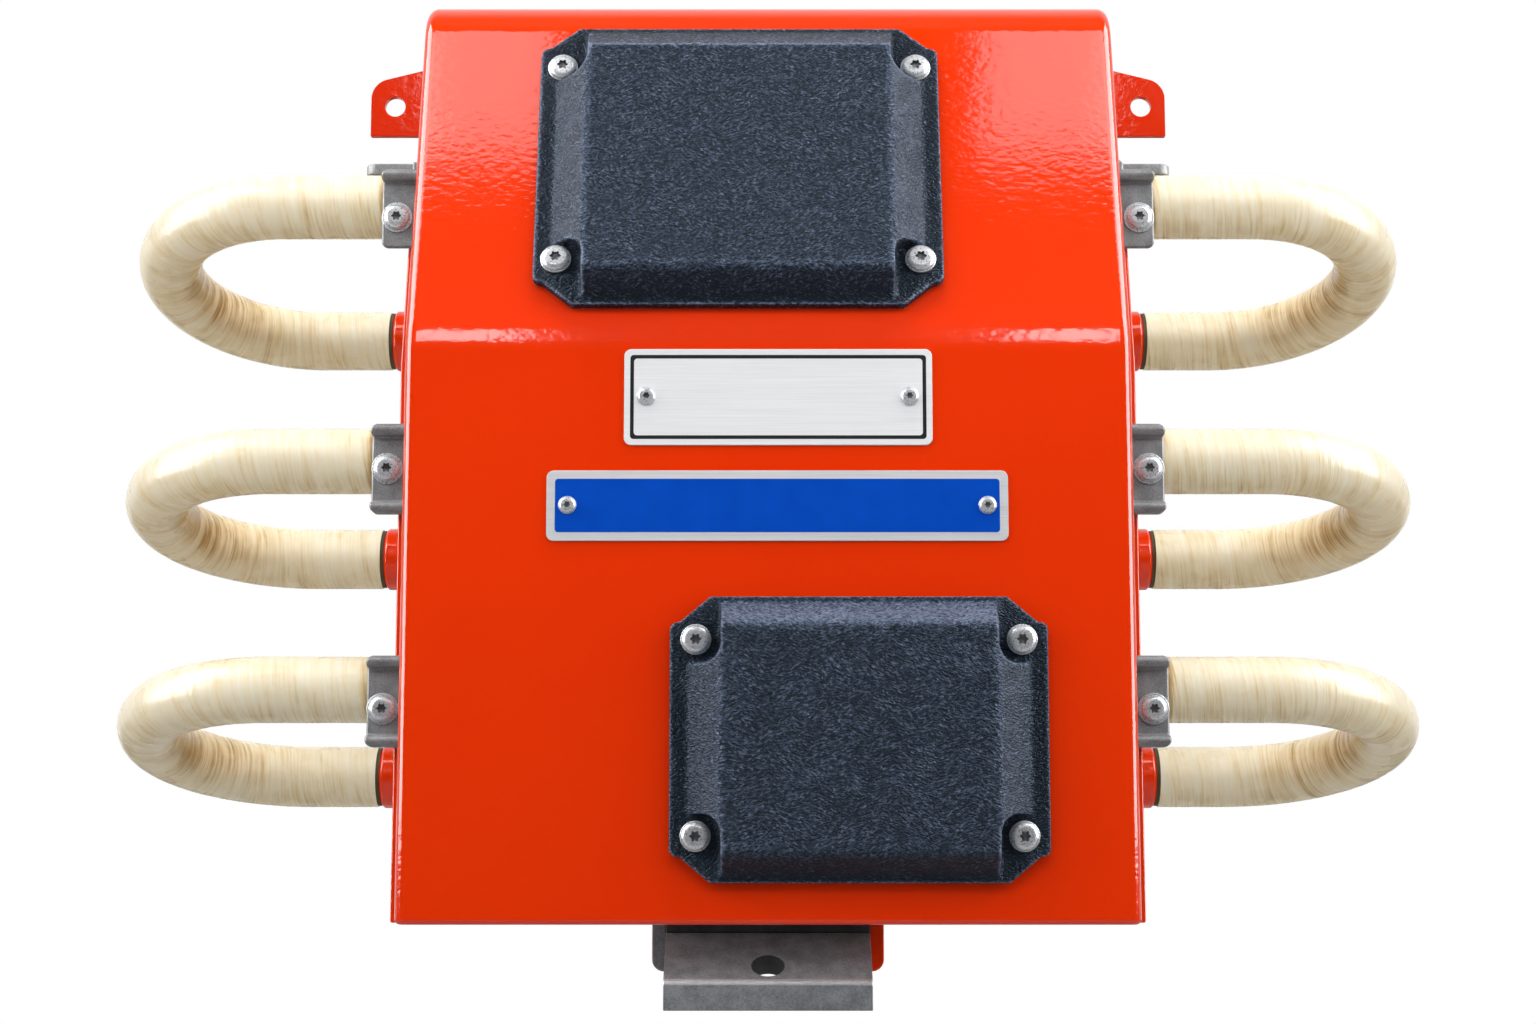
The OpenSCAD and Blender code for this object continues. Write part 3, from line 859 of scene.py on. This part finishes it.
def plate_layer(name, node, outer, inner, lift, material):
    """Thin layer on a plate's face, between two insets, or a whole field where the inner one is None."""
    low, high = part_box(node)
    middle = (low + high) / 2
    width = (high.x - low.x) / MM
    height = (high.z - low.z) / MM

    def row(inset, rise):
        outline = round_outline(width, height, PLATE_RADIUS, inset)
        return [Vector((middle.x + x * MM, low.y - rise * MM, middle.z + z * MM)) for x, z in outline]

    rows = [row(outer, -lift), row(outer, lift / 2), row(outer + lift, lift)]
    if inner is not None:
        rows += [row(inner - lift, lift), row(inner, lift / 2), row(inner, -lift)]
    count = len(rows[0])
    points = [point for line in rows for point in line]
    faces = tube_faces(len(rows), count, inner is None)
    make_piece(name, mesh_from(name, points, faces), material)


def plates():
    """Bare plates: a black line on the silver one, and a raised rim and a blue field on the other."""
    softened("silver_plate", PLATE_ROUND, SILVER)
    softened("blue_plate", PLATE_ROUND, DULL_SILVER)
    plate_layer(
        "silver_plate_line", "silver_plate", outer=2.5, inner=4.0, lift=0.05,
        material=BLACK_INK,
    )
    plate_layer(
        "blue_plate_line", "blue_plate", outer=2.9, inner=3.5, lift=0.10,
        material=DULL_SILVER,
    )
    plate_layer(
        "blue_plate_field", "blue_plate", outer=3.4, inner=None, lift=0.06,
        material=BLUE,
    )


# Foot

FOOT_SLOPE = math.radians(36)
FOOT_HOLE_RADIUS = 6.75


def foot():
    """Bent bar with a painted highlight on the bevel along its front edge and painted shade in the hole in
    its slope.
    """
    bevel_depth = 3
    bevel_flattest = 0.72
    bevel_steepest = 0.15
    hole_depth = 20
    hole_slack = 0.2
    hole_reach = FOOT_HOLE_RADIUS + hole_slack
    most_along_axis = 0.35
    piece = softened("foot", SMALL_ROUND, IRON)
    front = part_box("foot")[0].y
    hole_axis = Vector((0, math.sin(FOOT_SLOPE), -math.cos(FOOT_SLOPE)))

    def on_bevel(face):
        near_front = face.center.y < front + bevel_depth * MM
        return near_front and face.normal.y < 0 and bevel_steepest < face.normal.z < bevel_flattest

    def in_hole(face):
        within = abs(face.center.x) < hole_reach * MM and face.center.y < front + hole_depth * MM
        return within and abs(face.normal.dot(hole_axis)) < most_along_axis

    # Painted highlight on the bevel
    finish_faces(piece, BEVEL_HIGHLIGHT, on_bevel)
    # Painted shade inside the hole
    finish_faces(piece, SHADE_IRON, in_hole)
    # Painted shade: the spacer under the housing in near-black steel
    softened("foot_spacer", BAR_ROUND, SHADE_IRON)


def gusset(side):
    """Cheek beside the foot; the front of the left one is bare steel."""
    mostly = 0.5
    piece = softened(f"{side}_gusset", BAR_ROUND, ORANGE)
    if side == "left":
        finish_faces(piece, IRON, lambda face: -face.normal.y > mostly)


# Stage, light and camera

def softbox(name, centre, target, width, height, radiance, mirrored=True, matt=True):
    """Soft lamp that faces a target, with its size in metres and the brightness of its face."""
    lamp = bpy.data.lights.new(name, "AREA")
    lamp.shape = "RECTANGLE"
    lamp.size = width
    lamp.size_y = height
    lamp.energy = radiance * math.pi * width * height
    holder = bpy.data.objects.new(name, lamp)
    bpy.context.scene.collection.objects.link(holder)
    holder.location = centre
    holder.rotation_euler = (centre - target).to_track_quat("Z", "Y").to_euler()
    holder.visible_camera = False
    holder.visible_glossy = mirrored
    holder.visible_diffuse = matt


def around(target, distance, azimuth, elevation):
    """Point at a distance in metres from a target, its angles in degrees right of the front and up."""
    across = math.radians(azimuth)
    rise = math.radians(elevation)
    level = FRONT_OUT * math.cos(across) + RIGHT * math.sin(across)
    return target + distance * (level * math.cos(rise) + UP * math.sin(rise))


def mirrored_lamp(name, side, x, depth, above, target, **face):
    """Lamp that only shiny surfaces show, which faces a target moved as far sideways as the lamp."""
    sign = SIDES[side]
    outward = sign * RIGHT
    softbox(f"{name}_{side}", place(sign * x, depth, above), target + x * MM * outward, matt=False, **face)


def lamps():
    """Lamps that the paint, its edges and the metal mirror, and others that only light matt surfaces."""
    panel_depth = 24
    panel_height = 320
    panel = place(0, panel_depth, panel_height)
    fold = place(0, 0, FOLD_HEIGHT)
    middle = place(0, 0, HEIGHT / 2)
    high = {"depth": -415, "above": 921, "target": panel, "height": 0.15}
    for side, sign in SIDES.items():
        mirrored_lamp("high", side, x=500, width=0.53, radiance=5.9, **high)
        mirrored_lamp("high_inner", side, x=192, width=0.085, radiance=4.0, **high)
        mirrored_lamp(
            "fold", side, x=350, depth=-1585, above=1095, target=fold, width=0.14, height=0.36, radiance=10.0,
        )
        softbox(
            "edge_" + side, around(middle, distance=1.6, azimuth=sign * 80, elevation=24), middle,
            width=1.0, height=1.8, radiance=12.0, matt=False,
        )
        softbox(
            "side_" + side, around(middle, distance=1.6, azimuth=sign * 70, elevation=20), middle,
            width=0.9, height=1.7, radiance=3.4, mirrored=False,
        )
    softbox(
        "overhead", around(panel, distance=1.0, azimuth=0, elevation=80), panel,
        width=0.6, height=0.4, radiance=10.0, mirrored=False,
    )
    softbox(
        "front", around(fold, distance=0.8, azimuth=0, elevation=34), fold,
        width=1.0, height=0.4, radiance=2.8, mirrored=False,
    )
    softbox(
        "back", around(middle, distance=1.8, azimuth=180, elevation=4), middle,
        width=1.2, height=1.2, radiance=4.5, mirrored=False,
    )


def seen_rays(tree):
    """Camera rays, and rays that mirror or pass through, as ones and zeros."""
    path = add(tree, "LightPath").outputs
    mirrored = calculate(tree, "MAXIMUM", path["Is Glossy Ray"], path["Is Transmission Ray"])
    return path["Is Camera Ray"], mirrored


def white_surroundings():
    """World that is white behind the object and dim in front of it, with a softer fill for matt surfaces."""
    dim = 0.03
    fill_front = 0.12
    fill_behind = 0.2
    horizon = 0.35
    world = bpy.data.worlds.new("studio")
    bpy.context.scene.world = world
    world.use_nodes = True
    tree = world.node_tree
    background = tree.nodes["Background"]
    camera_rays, mirrored = seen_rays(tree)
    depth = add(tree, "SeparateXYZ", Vector=add(tree, "TexCoord").outputs["Generated"]).outputs["Y"]
    behind = add(tree, "MapRange", Value=depth, From_Min=0.0, From_Max=horizon).outputs[0]
    backdrop = blend(tree, dim, 1.0, behind)
    fill = blend(tree, fill_front, fill_behind, behind)
    hidden = blend(tree, fill, backdrop, mirrored)
    background.inputs["Color"].default_value = (1, 1, 1, 1)
    connect(tree, background.inputs["Strength"], blend(tree, hidden, 1.0, camera_rays))


def white_floor():
    """Wide floor below the hanging object, lifted towards white where it is seen, most of all far out."""
    drop = 600
    reach = 4.0
    near = 1.3
    lifted = 0.88
    lifted_in_mirrors = 0.1
    low = cad_box[0].z - drop * MM
    corners = [(-reach, -reach, low), (reach, -reach, low), (reach, reach, low), (-reach, reach, low)]
    mesh = mesh_from("floor", corners, [(0, 1, 2, 3)])
    floor = bpy.data.objects.new("floor", mesh)
    bpy.context.scene.collection.objects.link(floor)
    material = bpy.data.materials.new("floor")
    material.use_nodes = True
    tree = material.node_tree
    shader = tree.nodes["Principled BSDF"]
    set_shader(tree, shader, Base_Color=(0.5, 0.5, 0.5, 1), Roughness=0.9)
    camera_rays, mirrored = seen_rays(tree)
    where = add(tree, "TexCoord").outputs["Object"]
    away = add(tree, "VectorMath", {"operation": "LENGTH"}, Vector=where).outputs["Value"]
    seen = add(tree, "MapRange", Value=away, From_Min=near, From_Max=reach, To_Min=lifted).outputs[0]
    share = weighted(tree, (camera_rays, seen), (mirrored, lifted_in_mirrors))
    glow = add(tree, "Emission", Strength=1.0)
    mix = add(tree, "MixShader", Fac=share)
    tree.links.new(shader.outputs[0], mix.inputs[1])
    tree.links.new(glow.outputs[0], mix.inputs[2])
    tree.links.new(mix.outputs[0], tree.nodes["Material Output"].inputs["Surface"])
    mesh.materials.append(material)


def camera():
    """Camera at the photograph's place: low, straight in front and tilted up."""
    sensor = 36
    lens = 59.77
    distance = 1031.5
    height = 27
    tilt = math.radians(97.7)
    holder = bpy.data.objects.new("camera", bpy.data.cameras.new("camera"))
    bpy.context.scene.collection.objects.link(holder)
    holder.data.sensor_width = sensor
    holder.data.lens = lens
    holder.location = place(0, -distance, height)
    holder.rotation_euler = (tilt, 0, 0)
    bpy.context.scene.camera = holder


bpy.context.scene.view_settings.view_transform = "Standard"
camera()
lamps()
white_surroundings()
white_floor()

front_cover()
for number, level in enumerate(LEVELS):
    for side in SIDES:
        conductor_loop(level, side, SEED_STEP * number + FIRST_SEED[side])
        softened(f"{level}_{side}_collar", SMALL_ROUND, ORANGE)
        clamp(level, side)
for side in SIDES:
    softened(f"{side}_rail", BAR_ROUND, ORANGE)
    gusset(side)
# Back plate in the darker copy of the orange, as painted shade
softened("back_plate", BACK_ROUND, SHADED_ORANGE)
foot()
terminal_cover("lower_terminal_cover", lean=0, voxel=0.8, end_slope=9.5, top_sheen=0.6)
terminal_cover("upper_terminal_cover", lean=LEAN, voxel=0.9, end_slope=14, top_sheen=0.2)
plates()
cover_screws()
clamp_screws()
plate_screws()

kept_finishes = {"tank": ORANGE, "left_seal_rings": RUBBER, "right_seal_rings": RUBBER}
for node, material in kept_finishes.items():
    for slot in frame["nodes"][node].material_slots:
        slot.material = material

# The paint sends no coloured light onto its neighbours, as in the photograph
for piece in bpy.data.objects:
    if ORANGE.name in piece.material_slots or SHADED_ORANGE.name in piece.material_slots:
        piece.visible_diffuse = False
